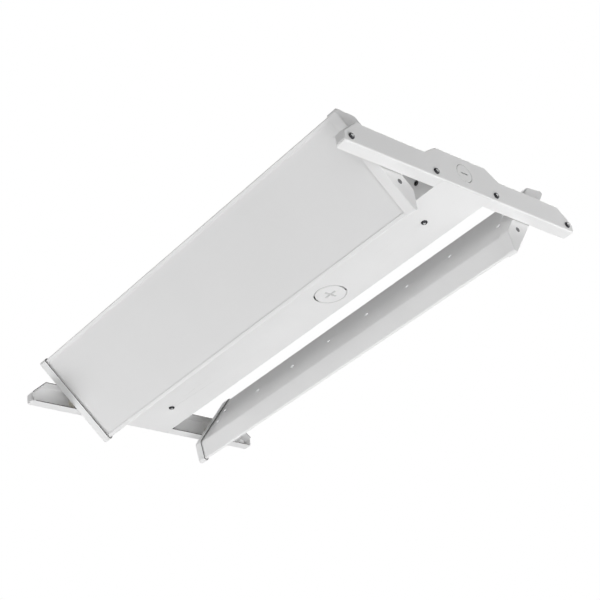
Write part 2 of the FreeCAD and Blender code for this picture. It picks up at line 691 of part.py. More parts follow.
# ---- nodes ----
def housing_pieces():
    tail_plate = tail_end_plate()
    return {
        "channel": [channel()],
        "driver_cover": [driver_cover()],
        "lead_end_plate": [turned(tail_plate, ORIGIN, UP, 180)],
        "tail_end_plate": [tail_plate],
        "channel_screws": plate_screws(CHANNEL_SCREW_Y, PLATE_SCREW_L),
        "guard_screws": plate_screws(GUARD_SCREW_Y, GUARD_SCREW_L),
        "guard_nuts": guard_nuts(),
        "cover_straps": cover_straps(),
        "cover_screws": cover_screws(),
        "driver": [driver()],
        "driver_screws": driver_screws(),
        "terminal_block": [terminal_block()],
        "channel_bushings": channel_bushings(),
        "pivot_studs": at_pivots(pivot_stud),
        "pivot_spacers": at_pivots(pivot_spacer),
        "pivot_washers": at_pivots(pivot_washer),
        "pivot_nuts": at_pivots(pivot_nut),
    }


def main():
    os.makedirs("parts", exist_ok=True)
    nodes = housing_pieces()
    for name, side, tilt in (("left", -1, LEFT_TILT), ("right", 1, RIGHT_TILT)):
        for piece, shapes in panel_pieces().items():
            nodes[f"{name}_{piece}"] = [placed(shape, side, tilt) for shape in shapes]
    for name, shapes in nodes.items():
        shape = shapes[0] if len(shapes) == 1 else Part.makeCompound(shapes)
        shape.exportStep(f"parts/{name}.step")
        print(name, len(shape.Solids), round(shape.Volume, 1), shape.isValid())


main()
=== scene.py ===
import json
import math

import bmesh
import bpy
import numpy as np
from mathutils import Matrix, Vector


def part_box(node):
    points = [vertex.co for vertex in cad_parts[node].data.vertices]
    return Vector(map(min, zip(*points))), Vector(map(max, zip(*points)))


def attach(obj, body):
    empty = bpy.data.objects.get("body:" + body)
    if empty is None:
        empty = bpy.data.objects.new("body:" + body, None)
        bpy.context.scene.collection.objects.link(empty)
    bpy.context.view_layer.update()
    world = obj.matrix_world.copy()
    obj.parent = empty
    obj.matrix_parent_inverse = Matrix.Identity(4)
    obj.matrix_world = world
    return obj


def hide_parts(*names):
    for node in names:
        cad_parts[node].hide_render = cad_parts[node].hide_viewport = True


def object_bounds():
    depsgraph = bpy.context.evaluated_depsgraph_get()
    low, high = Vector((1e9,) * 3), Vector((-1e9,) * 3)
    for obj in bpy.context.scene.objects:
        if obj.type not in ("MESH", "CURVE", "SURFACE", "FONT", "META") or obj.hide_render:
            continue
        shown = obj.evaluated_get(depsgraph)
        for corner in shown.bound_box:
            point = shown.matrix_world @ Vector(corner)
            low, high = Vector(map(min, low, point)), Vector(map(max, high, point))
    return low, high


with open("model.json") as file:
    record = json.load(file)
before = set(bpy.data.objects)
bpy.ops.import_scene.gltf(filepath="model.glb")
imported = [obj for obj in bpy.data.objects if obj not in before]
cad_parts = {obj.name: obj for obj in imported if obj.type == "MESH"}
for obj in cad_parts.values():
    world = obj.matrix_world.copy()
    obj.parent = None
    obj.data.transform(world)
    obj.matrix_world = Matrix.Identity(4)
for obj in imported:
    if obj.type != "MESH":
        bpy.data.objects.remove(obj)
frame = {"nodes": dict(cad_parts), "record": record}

# %% [markdown]
# # A high bay light with two tilting panels
#
# The part is a light for a high ceiling. A channel of folded sheet steel holds the driver, an end
# plate closes each end of it, and the arms of the end plates carry two light panels that tilt.
# The frame already holds every piece at its real size, so this script has three jobs: finishes
# and soft edges for the folded sheet, finer surfaces for the small turned and moulded pieces, and
# a plain studio.

MM = 0.001
solid_box = [list(corner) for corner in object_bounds()]
print("solids span", solid_box)

# %% [markdown]
# ## Camera
#
# The light is looked up at, as from a warehouse floor, past one end plate and along its length.
# A camera can be turned by Euler angles, but a heading, a climb above the horizon and a roll are
# easier to picture, so the three view axes are worked out from those and set as a matrix.

# %% The camera
LENS_MM = 78.9
DISTANCE = 1.5595                   # from the camera to the point that it aims at
HEADING = math.radians(135.76)      # of the view, anticlockwise from +X
CLIMB = math.radians(30.21)         # of the view above the horizon
ROLL = math.radians(-9.32)
AIM = np.array([0.0236, 0.0062, -0.0192])

forward = np.array([math.cos(CLIMB) * math.cos(HEADING), math.cos(CLIMB) * math.sin(HEADING),
                    math.sin(CLIMB)])
level_right = np.cross(forward, [0, 0, 1])
level_right /= np.linalg.norm(level_right)
level_up = np.cross(level_right, forward)
right = math.cos(ROLL) * level_right + math.sin(ROLL) * level_up
up = np.cross(right, forward)

camera_data = bpy.data.cameras.new("camera")
camera_data.lens = LENS_MM
camera_data.sensor_width = 36.0
camera_data.clip_end = 50.0
camera = bpy.data.objects.new("camera", camera_data)
bpy.context.scene.collection.objects.link(camera)
placement = np.eye(4)
placement[:3, :3] = np.column_stack([right, up, -forward])
placement[:3, 3] = AIM - DISTANCE * forward
camera.matrix_world = Matrix(placement.tolist())
bpy.context.scene.camera = camera
print("camera at", placement[:3, 3].round(3))

# %% [markdown]
# ## One function for nodes and one for colours
#
# Every material below is a small node tree. One helper makes a node, sets its values and links
# its inputs, and one turns a screen colour such as "#f0f0ee" into the linear light that the
# shaders work in.

# %% Helpers for materials
def linear(hex_colour):
    """Linear RGBA of an sRGB hex colour: a channel c becomes ((c + 0.055) / 1.055) ^ 2.4."""
    levels = np.array([int(hex_colour[i:i + 2], 16) for i in (1, 3, 5)]) / 255
    levels = np.where(levels <= 0.04045, levels / 12.92, ((levels + 0.055) / 1.055) ** 2.4)
    return (*levels.tolist(), 1.0)


def add(tree, kind, links=None, values=None, **settings):
    """A new node of this kind, with its settings, constant inputs and links to other outputs."""
    node = tree.nodes.new(kind)
    for name, value in settings.items():
        setattr(node, name, value)
    for name, value in (values or {}).items():
        node.inputs[name].default_value = value
    for name, output in (links or {}).items():
        tree.links.new(output, node.inputs[name])
    return node

# %% [markdown]
# ## What all the finishes share
#
# Paint, plate and plastic all drift a little in tone over some width, and all have a fine grain
# that stands up by a few hundredths of a millimetre. So one recipe makes every finish from three
# real sizes: the width of the drift, the width of the grain and the grain's height. Noise on
# Object coordinates draws both, because these have a fixed scale in metres on every piece. Noise
# seldom leaves its middle, so that middle is spread over the whole change of tone.

# %% The recipe for a finish
NOISE_MIDDLE = {"From Min": 0.3, "From Max": 0.7}


def finish(name, tones, drift, grain, height, roughness, stretch=(1, 1, 1), **constants):
    """Material with tones (dark, light) that drift over one width, and a bump of fine grain.

    The roughness is one number, or (low, high) to run with the grain. Other sockets of the
    shader are given by name, such as Metallic or IOR.
    """
    material = bpy.data.materials.new(name)
    material.use_nodes = True
    tree = material.node_tree
    tree.nodes.clear()
    values = {socket.replace("_", " "): value for socket, value in constants.items()}
    shader = add(tree, "ShaderNodeBsdfPrincipled", values=values)
    add(tree, "ShaderNodeOutputMaterial", links={"Surface": shader.outputs["BSDF"]})
    place = add(tree, "ShaderNodeTexCoord").outputs["Object"]
    wide = add(tree, "ShaderNodeTexNoise", links={"Vector": place}, values={"Scale": 1 / drift})
    spread = add(tree, "ShaderNodeMapRange", links={"Value": wide.outputs["Fac"]},
                 values=NOISE_MIDDLE)
    colour = add(tree, "ShaderNodeMix", links={"Factor": spread.outputs["Result"]},
                 values={"A": linear(tones[0]), "B": linear(tones[1])}, data_type="RGBA")
    tree.links.new(colour.outputs["Result"], shader.inputs["Base Color"])
    drawn = add(tree, "ShaderNodeMapping", links={"Vector": place}, values={"Scale": stretch})
    fine = add(tree, "ShaderNodeTexNoise", links={"Vector": drawn.outputs["Vector"]},
               values={"Scale": 1 / grain})
    bump = add(tree, "ShaderNodeBump", links={"Height": fine.outputs["Fac"]},
               values={"Distance": height, "Strength": 1.0})
    tree.links.new(bump.outputs["Normal"], shader.inputs["Normal"])
    if np.ndim(roughness):
        sheen = add(tree, "ShaderNodeMapRange", links={"Value": fine.outputs["Fac"]},
                    values={**NOISE_MIDDLE, "To Min": roughness[0], "To Max": roughness[1]})
        tree.links.new(sheen.outputs["Result"], shader.inputs["Roughness"])
    else:
        shader.inputs["Roughness"].default_value = roughness
    return material

# %% [markdown]
# ## White powder coat
#
# Nearly all of the light is sheet steel in white polyester powder coat. The powder is baked until
# it flows into a skin of about 0.07 mm, which leaves "orange peel": low, smooth hills some 2 mm
# across. That softens every reflection, so the sheet looks satin and never mirror-like. Its tone
# changes a little over some 90 mm.

# %% Powder coat
POWDER_COAT = finish("white_powder_coat", ("#ededed", "#f1f1f1"), drift=90 * MM, grain=2.2 * MM,
                     height=0.012 * MM, roughness=0.42, IOR=1.5)

# %% [markdown]
# ## Sheared edges, and painted shade in the grooves
#
# The sheet is coated flat and cut to shape afterwards, so the edge of each flange shows the steel
# itself as a thin dark line. The die leaves it part burnished and part torn, in fine lines through
# the sheet's thickness, and oil and air have dulled it. It needs a dark, rough metal. The
# knockouts' grooves are pressed into the coated sheet, and their floors get a flat grey: painted
# shade, for the shade that falls in those recesses.

# %% Bare cut steel, and painted shade for the grooves
CUT_STEEL = finish("sheared_steel_edge", ("#4c4b4a", "#6b6a69"), drift=0.5 * MM, grain=0.5 * MM,
                   height=0.02 * MM, roughness=(0.45, 0.65), Metallic=1.0)
# Painted shade: a flat grey on the floors of the knockouts' grooves.
PAINTED_GROOVE_SHADE = finish("painted_groove_shade", ("#c4c4c4", "#d4d4d4"), drift=1.5 * MM, grain=0.5 * MM,
                     height=0.01 * MM, roughness=0.6, IOR=1.5)

# %% [markdown]
# ## Frosted lens
#
# The lenses are sheets of frosted acrylic: clear plastic with a white filler and a matt skin. The
# skin scatters what it reflects, and the filler lets part of the light through and hides the
# LEDs. Behind it is a white tray, which sends most of that light back, except close to its walls,
# so a lens looks a little darker beside the end caps. A volume of filler would do the same, but
# it renders slowly and with noise, and for a thin sheet a share of transmission is as good.

# %% Frosted acrylic
FROSTED_ACRYLIC = finish("frosted_acrylic", ("#f4f4f4", "#f6f6f6"), drift=150 * MM,
                         grain=0.9 * MM, height=0.01 * MM, roughness=(0.5, 0.6), IOR=1.49,
                         Transmission_Weight=0.15)

# %% [markdown]
# ## Metals
#
# The screws under and at the ends of the housing are steel with black zinc plate. The panels'
# screws, the straps, the studs and their nuts have plain zinc that has gone dull, and the rivets
# are bare aluminium. Plating is thin, so it keeps the wire's fine drawing lines, and its colour
# drifts over a few millimetres. The middle of a pan head is given a bright steel, a painted
# highlight in the dark head.

# %% Plated and bare metals
def metal(name, tones, roughness):
    """A finish with the fine grain of drawn wire, five times as long as it is wide."""
    return finish(name, tones, drift=3 * MM, grain=0.6 * MM, height=0.004 * MM,
                  roughness=roughness, stretch=(1, 1, 0.2), Metallic=1.0)


BLACK_ZINC = metal("black_zinc_steel", ("#2b2b2d", "#3c3c3f"), (0.3, 0.42))
DULL_ZINC = metal("dull_zinc_steel", ("#6c6c6d", "#808081"), (0.35, 0.48))
# Painted highlight: a bright steel for the middle of a dark screw head.
PAINTED_HIGHLIGHT_STEEL = metal("painted_highlight_steel", ("#dcdddd", "#ececec"), (0.3, 0.4))
BARE_ALUMINIUM = metal("bare_aluminium", ("#d2d3d4", "#e2e2e2"), (0.3, 0.45))
ANODISED = metal("anodised_aluminium", ("#b9babb", "#c6c7c8"), (0.4, 0.5))

# %% [markdown]
# ## Plastics, boards and the LEDs
#
# Moulded nylon is a little glossy, with a spark-eroded skin from its tool. The LED boards wear
# white solder mask, and each LED is a white box with clear silicone over yellow phosphor.

# %% Moulded and coated plastics
def plastic(name, tones, roughness, ior=1.52):
    """A finish with the fine grain of a spark-eroded mould."""
    return finish(name, tones, drift=10 * MM, grain=0.35 * MM, height=0.01 * MM,
                  roughness=roughness, IOR=ior)


BLACK_NYLON = plastic("black_nylon", ("#141414", "#1d1d1e"), 0.45)
NATURAL_NYLON = plastic("natural_nylon", ("#e0dccd", "#e8e5da"), 0.4)
IVORY_NYLON = plastic("ivory_nylon", ("#e2ded2", "#e9e6dc"), 0.4)
SOLDER_MASK = plastic("white_solder_mask", ("#eeeeea", "#f3f3f0"), 0.3)
LED_PACKAGE = plastic("white_led_package", ("#e9e9e6", "#efefec"), 0.35)
PHOSPHOR = plastic("silicone_over_phosphor", ("#e6cf62", "#f0dd7e"), 0.2, ior=1.41)

# %% Every slot of the record gets its finish
FINISHES = {
    "white_powder_coat": POWDER_COAT,
    "frosted_lens": FROSTED_ACRYLIC,
    "dark_zinc_screw": BLACK_ZINC,
    "zinc_plate": DULL_ZINC,
    "bright_rivet": BARE_ALUMINIUM,
    "driver_case": ANODISED,
    "terminal_plastic": IVORY_NYLON,
    "black_nylon": BLACK_NYLON,
    "natural_nylon": NATURAL_NYLON,
    "white_board": SOLDER_MASK,
    "led_phosphor": PHOSPHOR,
}

slot_of = {part["node"]: part["material_slot"] for part in frame["record"]["subparts"]}
body_of = {node: body for body, nodes in frame["record"]["behaviour"]["bodies"].items()
           for node in nodes}
for node, slot in slot_of.items():
    mesh = frame["nodes"][node].data
    mesh.materials.clear()
    mesh.materials.append(FINISHES[slot])
print(len(FINISHES), "finishes on", len(slot_of), "nodes")

# %% [markdown]
# ## From arrays to pieces
#
# A surface below is a pair of arrays: its points, and the four corners of each face. One function
# gathers such surfaces into a mesh, merges the points at seams and poles, turns the faces outwards,
# and marks the edges that stay sharp. Another puts the piece in the scene, on the body of the solid
# that it stands for, and hides that solid.

# %% Building blocks for new pieces
SHARP = math.radians(32)            # edges that turn further than this stay sharp
MERGE = 0.002 * MM                  # points closer than this become one
SLIVER = 0.001 * MM                 # edges shorter than this are taken out


def grid_faces(rows, columns, wrap_rows=False):
    """Quads between neighbours of a grid of points whose columns close on themselves."""
    last = rows if wrap_rows else rows - 1
    i, j = np.meshgrid(np.arange(last), np.arange(columns), indexing="ij")
    below, beside = (i + 1) % rows, (j + 1) % columns
    corners = [i * columns + j, i * columns + beside, below * columns + beside, below * columns + j]
    return np.stack(corners, axis=-1).reshape(-1, 4)


def turn_angles(steps):
    """The angles of this many equal steps round a full turn, from 0."""
    return np.linspace(0, 2 * math.pi, steps, endpoint=False)


def turned(r, h, steps=48, ring=False):
    """Rows of points (r cos t, r sin t, h); r and h may be numbers in a row or change with t.

    A ring's last row joins its first, as round a washer's section.
    """
    t = turn_angles(steps)
    r, h = [np.array([np.broadcast_to(row, steps) for row in rows]) for rows in (r, h)]
    points = np.stack([r * np.cos(t), r * np.sin(t), h], axis=-1)
    return points.reshape(-1, 3), grid_faces(len(r), steps, wrap_rows=ring)


def stood(surface, place, axis):
    """The surface carried so that its +Z runs along the axis from this place."""
    axis = np.array(axis, float)
    side = np.cross([0, 0, 1] if abs(axis[2]) < 0.9 else [0, 1, 0], axis)
    side /= np.linalg.norm(side)
    basis = np.stack([side, np.cross(axis, side), axis])
    return (surface[0] @ basis + place, *surface[1:])


def shade(shape):
    """Smooth every face, and mark the edges that stay sharp."""
    for face in shape.faces:
        face.smooth = True
    for edge in shape.edges:
        edge.smooth = edge.calc_face_angle(0.0) < SHARP


def tidy_edges(shape):
    """Merge seams and poles, turn the faces outwards, and shade them."""
    bmesh.ops.remove_doubles(shape, verts=shape.verts, dist=MERGE)
    bmesh.ops.dissolve_degenerate(shape, edges=shape.edges, dist=SLIVER)
    bmesh.ops.recalc_face_normals(shape, faces=shape.faces)
    shade(shape)


def show_for(piece, node):
    """Put the piece in the scene; it moves with the node's body and replaces it."""
    bpy.context.scene.collection.objects.link(piece)
    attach(piece, body_of[node])
    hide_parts(node)


def new_piece(node, surfaces, materials=None):
    """One object, named for the node it replaces, from surfaces (points, faces, material index)."""
    sizes = np.cumsum([0] + [len(surface[0]) for surface in surfaces])
    points = np.concatenate([surface[0] for surface in surfaces])
    faces = np.concatenate([surface[1] + start for surface, start in zip(surfaces, sizes)])
    index = np.concatenate([np.broadcast_to(surface[2] if len(surface) > 2 else 0,
                                            len(surface[1])) for surface in surfaces])
    mesh = bpy.data.meshes.new(node + "_fine")
    mesh.from_pydata(points.tolist(), [], faces.tolist())
    for material in materials or [FINISHES[slot_of[node]]]:
        mesh.materials.append(material)
    mesh.polygons.foreach_set("material_index", index.astype(np.int32))
    shape = bmesh.new()
    shape.from_mesh(mesh)
    tidy_edges(shape)
    shape.to_mesh(mesh)
    shape.free()
    show_for(bpy.data.objects.new(node + "_fine", mesh), node)

# %% [markdown]
# ## Folded sheet
#
# End plates, channel, cover, pans and caps could be modelled again, but the bends of the solids are
# already true arcs, so copies of them are enough. Their triangles are loose, so each copy is merged
# first, which lets light run smoothly round the bends. Weighted normals keep the flat faces flat
# beside a bend. A tiny bevel on every right-angled edge stands for the skin of paint that rounds
# it. Where a flange ends, the faces of the cut edge get the bare steel, and the floors of the
# knockouts' grooves get a flat grey of painted shade. The axes are numbered 0, 1 and 2 for X, Y and
# Z.

# %% Smooth copies of the folded pieces
EDGE_ROUNDING = 0.15 * MM
ROUND_FROM = math.radians(50)       # edges that turn less than this get no rounding
GROOVE = 0.6 * MM                   # depth of the knockouts' grooves
IN_PLANE = 0.02 * MM                # how far from its plane a marked face may lie
SQUARE = 0.99                       # least part of its normal that runs along the axis
X, Z = 0, 2


def folded(node, *marked, rounding=EDGE_ROUNDING):
    """Merged copy of a sheet node, with rounded edges.

    Each (axis, distance, finish) marks the faces square to that axis at that distance from 0.
    """
    mesh = frame["nodes"][node].data.copy()
    mesh.name = node + "_folded"
    shape = bmesh.new()
    shape.from_mesh(mesh)
    bmesh.ops.remove_doubles(shape, verts=shape.verts, dist=MERGE)
    found = 0
    for axis, distance, material in marked:
        mesh.materials.append(material)
        for face in shape.faces:
            away = abs(face.calc_center_median()[axis]) - distance
            if abs(face.normal[axis]) > SQUARE and abs(away) < IN_PLANE:
                face.material_index = len(mesh.materials) - 1
                found += 1
    shade(shape)
    shape.to_mesh(mesh)
    shape.free()
    piece = bpy.data.objects.new(node + "_folded", mesh)
    bevel = piece.modifiers.new("paint rounding", "BEVEL")
    bevel.width = rounding
    bevel.segments = 2
    bevel.limit_method = "ANGLE"
    bevel.angle_limit = ROUND_FROM
    bevel.use_clamp_overlap = True
    weighted = piece.modifiers.new("flat faces", "WEIGHTED_NORMAL")
    weighted.keep_sharp = True
    show_for(piece, node)
    print(node, len(mesh.polygons), "faces,", found, "of them cut or pressed")


def reach_along_x(node):
    """Least and greatest distance of a node's box from the middle of the light, along X."""
    return np.sort(abs(np.array(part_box(node))[:, X]))


for end in ("lead", "tail"):
    inside, outside = reach_along_x(end + "_end_plate")
    # The second finish paints shade on the floors of the knockouts' grooves.
    folded(end + "_end_plate", (X, inside, CUT_STEEL), (X, outside - GROOVE, PAINTED_GROOVE_SHADE))
    for side in ("left", "right"):
        cap = f"{side}_{end}_cap"
        folded(cap, (X, reach_along_x(cap)[0], CUT_STEEL))
# The floors of the cover's knockout grooves get painted shade.
folded("driver_cover", (Z, abs(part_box("driver_cover")[0][Z] + GROOVE), PAINTED_GROOVE_SHADE))
for node in ("channel", "cover_straps", "driver", "terminal_block",
             "left_pan", "right_pan", "left_led_board", "right_led_board"):
    folded(node)

# %% [markdown]
# ## Lenses
#
# Each lens slides into its pan as one flat sheet, so the solid's own shape is enough. Its copy
# gets the small rounding that a flame-polished edge has, because a real edge always catches light.

# %% Lenses with polished edges
LENS_EDGE = 0.3 * MM

for side in ("left", "right"):
    folded(side + "_lens", rounding=LENS_EDGE)

# %% [markdown]
# ## Screws
#
# The head of a pan head screw is a flattened dome, a superellipse with |r/R|^n + |h/H|^n = 1 and
# n between 2 (an ellipse) and infinity (a box). The cross recess sinks into it along two arms
# that grow shallower outwards. The thread is one helix: at turn t and height h the radius depends
# only on h/pitch - t/360, and it rises and falls once in each pitch. The Screw modifier could wind
# a thread too, but would leave its ends open. Here head, thread and tip are one closed surface.

# %% Screw shapes
HEAD_R, HEAD_H = 3.7 * MM, 2.2 * MM
PITCH = 0.7 * MM
THREAD_STEPS = 6                    # rows of points in each pitch
TIP_LENGTH = 0.6 * MM
TIP_R = 0.8                         # of the thread's radius


def cross_recess(r, width, length, depth):
    """Depth at (r cos t, r sin t): full in the middle, half at an arm's ends, with soft walls."""
    t = turn_angles(r.shape[1])
    x, y = r * np.cos(t), r * np.sin(t)
    wall = 0.12 * MM
    lost = 0.5                      # of the depth, at the ends of an arm

    def arm(along, over):
        inside = np.clip((width / 2 - abs(over)) / wall, 0, 1)
        within = np.clip((length / 2 - abs(along)) / wall, 0, 1)
        return inside * within * (1 - lost * (2 * along / length) ** 2)
    return depth * np.maximum(arm(x, y), arm(y, x))


def threaded(start, end, radius, steps, pitch=PITCH, core=0.82):
    """Rows (r, h) up a thread: r swings between core and crest with h/pitch - t/360."""
    rows = max(4, int((end - start) / pitch * THREAD_STEPS))
    h = np.linspace(start, end, rows)[:, None]
    turns = h / pitch - turn_angles(steps) / (2 * math.pi)
    rise = 1 - abs(2 * (turns % 1) - 1)
    fade = np.clip(np.minimum(h - start, end - h) / pitch, 0, 1)
    return radius * (1 - (1 - core) * (1 - rise * fade)), h + 0 * turns


def screw(top_r, top_h, thread_from, length, shank=2.0 * MM):
    """Head rows (r, h), then a thread and a chamfered tip, as one closed surface."""
    steps = top_r.shape[1]
    thread_r, thread_h = threaded(thread_from, length - TIP_LENGTH, shank, steps)
    return turned([*top_r, *thread_r, TIP_R * shank, 0], [*top_h, *thread_h, length, length], steps)


def pan_head(length, steps=64):
    """Screw along +Z whose dome lies below z = 0; material 1 is a spot of painted highlight in the
    middle of the head.

    The rows are even over the recess, and closer together towards the steep rim.
    """
    power, painted_spot = 2.6, 0.4        # the superellipse's n, and the spot's radius over the head's
    over_recess = np.linspace(0, 0.66, 20)
    to_rim = np.sin(np.linspace(0.62, math.pi / 2, 14)) ** (2 / power)
    across = np.concatenate([over_recess, to_rim])[:, None]
    r = HEAD_R * across + np.zeros(steps)
    dome = HEAD_H * (1 - across ** power) ** (1 / power)
    recess = cross_recess(r, width=1.1 * MM, length=4.2 * MM, depth=1.2 * MM)
    points, faces = screw(r, recess - dome, 0, length)
    # The faces nearest the middle take material 1, the painted highlight.
    spot = np.arange(len(faces)) < np.sum(over_recess < painted_spot) * steps
    return points, faces, spot.astype(int)


def flat_head(length, radius=3.0 * MM, height=1.0 * MM, steps=48):
    """Countersunk screw along +Z, its flat top at z = 0 with a recess, and a cone to z = height."""
    r = np.linspace(0, 0.97, 22)[:, None] * radius + np.zeros(steps)
    h = cross_recess(r, width=0.8 * MM, length=3.6 * MM, depth=0.8 * MM)
    rim_r, rim_h = np.full((1, steps), radius), np.full((1, steps), 0.08 * MM)
    return screw(np.concatenate([r, rim_r]), np.concatenate([h, rim_h]), height, length)

# %% [markdown]
# ## Where the screws of the housing sit
#
# The frame gives the box of each node. Each of these nodes holds equal screws placed evenly about
# the middle, so the box's corners and the head's size give every screw's place.

# %% Screws of the housing
def mirrored(*axes):
    """Signs of all mirror images in these axes: mirrored(0, 1) gives four (sx, sy, 1)."""
    signs = np.array(np.meshgrid(*[[-1, 1] if axis in axes else [1] for axis in range(3)]))
    return signs.reshape(3, -1).T


# The middle of each head gets the second material, a painted highlight.
for node, length in (("channel_screws", 8.0 * MM), ("guard_screws", 4.5 * MM)):
    low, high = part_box(node)
    place = np.array([high[0] - HEAD_H, high[1] - HEAD_R, (low[2] + high[2]) / 2])
    one = pan_head(length)
    new_piece(node, [stood(one, place * sign, (-sign[0], 0, 0)) for sign in mirrored(0, 1)],
              [BLACK_ZINC, PAINTED_HIGHLIGHT_STEEL])

# The middle of each head gets the second material, a painted highlight.
for node, plate in (("cover_screws", BLACK_ZINC), ("driver_screws", DULL_ZINC)):
    low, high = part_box(node)
    place = np.array([high[0] - HEAD_R, 0, low[2] + HEAD_H])
    one = pan_head(high[2] - place[2])
    new_piece(node, [stood(one, place * sign, (0, 0, 1)) for sign in mirrored(0)],
              [plate, PAINTED_HIGHLIGHT_STEEL])
print("12 pan head screws,", len(one[1]), "faces in the shortest")

# %% [markdown]
# ## Pivots, nuts and bushings
#
# These are turned or moulded, so most are one profile carried round an axis. A hexagon nut is
# almost one: its radius changes with the turn, r = a / cos(t) within 30 degrees of each flat,
# and the lathe's chamfer takes the corners off at 30 degrees. Whole rows of points are worked out
# at once, which keeps each shape to a few lines.

# %% Profiles carried round an axis
BORE_R = 3.05 * MM                  # of what sits on a stud
BLIND_NUT_R = 3.8 * MM
FLANGE_R, FLANGE_T = 3.0 * MM, 0.7 * MM    # radius and thickness of a bushing's flanges


def rounded_profile(points, radius, arc=4):
    """A closed profile with rounded corners.

    A corner p becomes the parabola (1 - s)^2 a + 2 s (1 - s) p + s^2 b, where a and b lie one
    radius from p on its two sides, or nearly halfway along the shorter side if that is less.
    """
    points = np.array(points, float)
    before = np.roll(points, 1, axis=0) - points
    after = np.roll(points, -1, axis=0) - points
    to_before, to_after = [np.linalg.norm(side, axis=1)[:, None] for side in (before, after)]
    reach = np.minimum(np.minimum(to_before, to_after) * 0.45, radius)
    start = points + before / to_before * reach
    end = points + after / to_after * reach
    s = np.linspace(0, 1, arc)[:, None, None]
    curve = (1 - s) ** 2 * start + 2 * s * (1 - s) * points + s ** 2 * end
    return curve.transpose(1, 0, 2).reshape(-1, 2)


def ring(inner, outer, start, end, soft):
    """Washer or tube between two radii and two heights, with rounded edges."""
    section = rounded_profile([(inner, start), (outer, start), (outer, end), (inner, end)], soft)
    return turned(*section.T, ring=True)


def hexagon_nut(flats, bore, start, end, steps=72):
    """Nut between two heights: r = a / cos(t) about each flat, with a 30 degree lathe chamfer."""
    t = turn_angles(steps)
    apothem = flats / 2
    corner = apothem / np.cos((t + math.pi / 6) % (math.pi / 3) - math.pi / 6)
    face = 0.95 * apothem           # radius of the round face that the chamfer leaves
    drop = (corner - face) * math.tan(math.radians(30))
    lead = 0.35 * MM                # chamfer at the bore
    r = [bore + lead, bore, bore, bore + lead, face, corner, corner, face]
    h = [start, start + lead, end - lead, end, end, end - drop, start + drop, start]
    return turned(r, h, steps, ring=True)


def stud(length, radius=3.0 * MM, foot=14 * MM, tip=0.5 * MM, steps=48):
    """Welded stud along +Z: a plain foot, a thread for the rest, and a chamfered end."""
    thread_r, thread_h = threaded(foot, length - tip, radius, steps, pitch=1.0 * MM)
    return turned([0, radius, radius, *thread_r, TIP_R * radius, 0],
                  [0, 0, foot, *thread_h, length, length], steps)


def blind_nut(bore=2.05 * MM, depth=4.0 * MM, length=5.0 * MM, soft=0.9 * MM, edge=0.3 * MM):
    """Closed clinch nut along +Z: a bore from z = 0, chamfers, and a rounded, closed end."""
    s = np.linspace(0, math.pi / 2, 7)
    return turned([0, bore, bore, bore + edge, BLIND_NUT_R - edge, BLIND_NUT_R,
                   *(BLIND_NUT_R - soft + soft * np.cos(s)), 0],
                  [depth, depth, edge, 0, 0, edge, *(length - soft + soft * np.sin(s)), length])


def snap_bushing(sheet, bore=1.7 * MM, neck=2.4 * MM, soft=0.3 * MM):
    """Bushing along +Z through a sheet from z = 0: two rounded flanges and a neck between them."""
    section = rounded_profile([(bore, -FLANGE_T), (FLANGE_R, -FLANGE_T), (FLANGE_R, 0), (neck, 0),
                               (neck, sheet), (FLANGE_R, sheet), (FLANGE_R, sheet + FLANGE_T),
                               (bore, sheet + FLANGE_T)], soft)
    return turned(*section.T, ring=True)

# %% Pivots, nuts and bushings of the housing
joints = {joint["name"]: joint for joint in frame["record"]["behaviour"]["joints"]}
pivot_y, pivot_z = abs(joints["left_tilt"]["pos_m"][1]), joints["left_tilt"]["pos_m"][2]
plate_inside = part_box("pivot_studs")[1][0]
CHANNEL_SHEET = 1.0 * MM


def at_ends(node, surface, place):
    """The surface, made along +Z, at a place and its three mirror images, pointing inwards."""
    new_piece(node, [stood(surface, place * sign, (-sign[0], 0, 0)) for sign in mirrored(0, 1)])


def reach_of(node):
    """Start and end of a pivot's node, measured inwards from the plate's inner face."""
    mesh = frame["nodes"][node].data
    points = np.empty(3 * len(mesh.vertices))
    mesh.vertices.foreach_get("co", points)
    x = abs(points[X::3])
    return plate_inside - x.max(), plate_inside - x.min()


pivot = np.array([plate_inside, pivot_y, pivot_z])
at_ends("pivot_studs", stud(reach_of("pivot_studs")[1]), pivot)
at_ends("pivot_spacers", ring(BORE_R, 6.0 * MM, *reach_of("pivot_spacers"), soft=0.5 * MM), pivot)
at_ends("pivot_washers", ring(BORE_R, 6.25 * MM, *reach_of("pivot_washers"), soft=0.3 * MM), pivot)
at_ends("pivot_nuts", hexagon_nut(10 * MM, BORE_R, *reach_of("pivot_nuts")), pivot)

low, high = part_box("guard_nuts")
at_ends("guard_nuts", blind_nut(),
        np.array([high[0], high[1] - BLIND_NUT_R, (low[2] + high[2]) / 2]))

low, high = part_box("channel_bushings")
place = np.array([high[0] - FLANGE_R, high[1] - FLANGE_T, (low[2] + high[2]) / 2])
new_piece("channel_bushings", [stood(snap_bushing(CHANNEL_SHEET), place * sign, (0, -sign[1], 0))
                               for sign in mirrored(1)])
print("pivots at y", round(pivot_y, 5), "z", round(pivot_z, 5))

# %% [markdown]
# ## What each panel carries
#
# A panel has its own directions: x along it, u across it, outwards, and n from its front to its
# back. The joint's lower limit lays the panel flat, so that limit is also its tilt at rest.

# %% Shapes of the panels' small pieces
PIVOT_DEPTH = 11.9 * MM             # n of the pivots
BACK_INSIDE = 18.7 * MM             # n of the pan's inner face, where the board lies
PAN_SHEET = 0.8 * MM
BOARD = 1.6 * MM
CAP_SCREW_U, CAP_SCREW_N, CAP_SCREW_LENGTH = 32 * MM, 9.75 * MM, 9 * MM
MIDDLE_RIVETS, MIDDLE_RIVET_STEP = 6, 72.5 * MM
END_RIVET_INSET, END_RIVET_U = 9 * MM, 12 * MM
LED_ROWS, LED_STEP, LED_U = 29, 18.1 * MM, 9 * MM
OUTLINE_POINTS = 12                 # round an LED
BUSHING_INSET, BUSHING_U = 25 * MM, 25 * MM


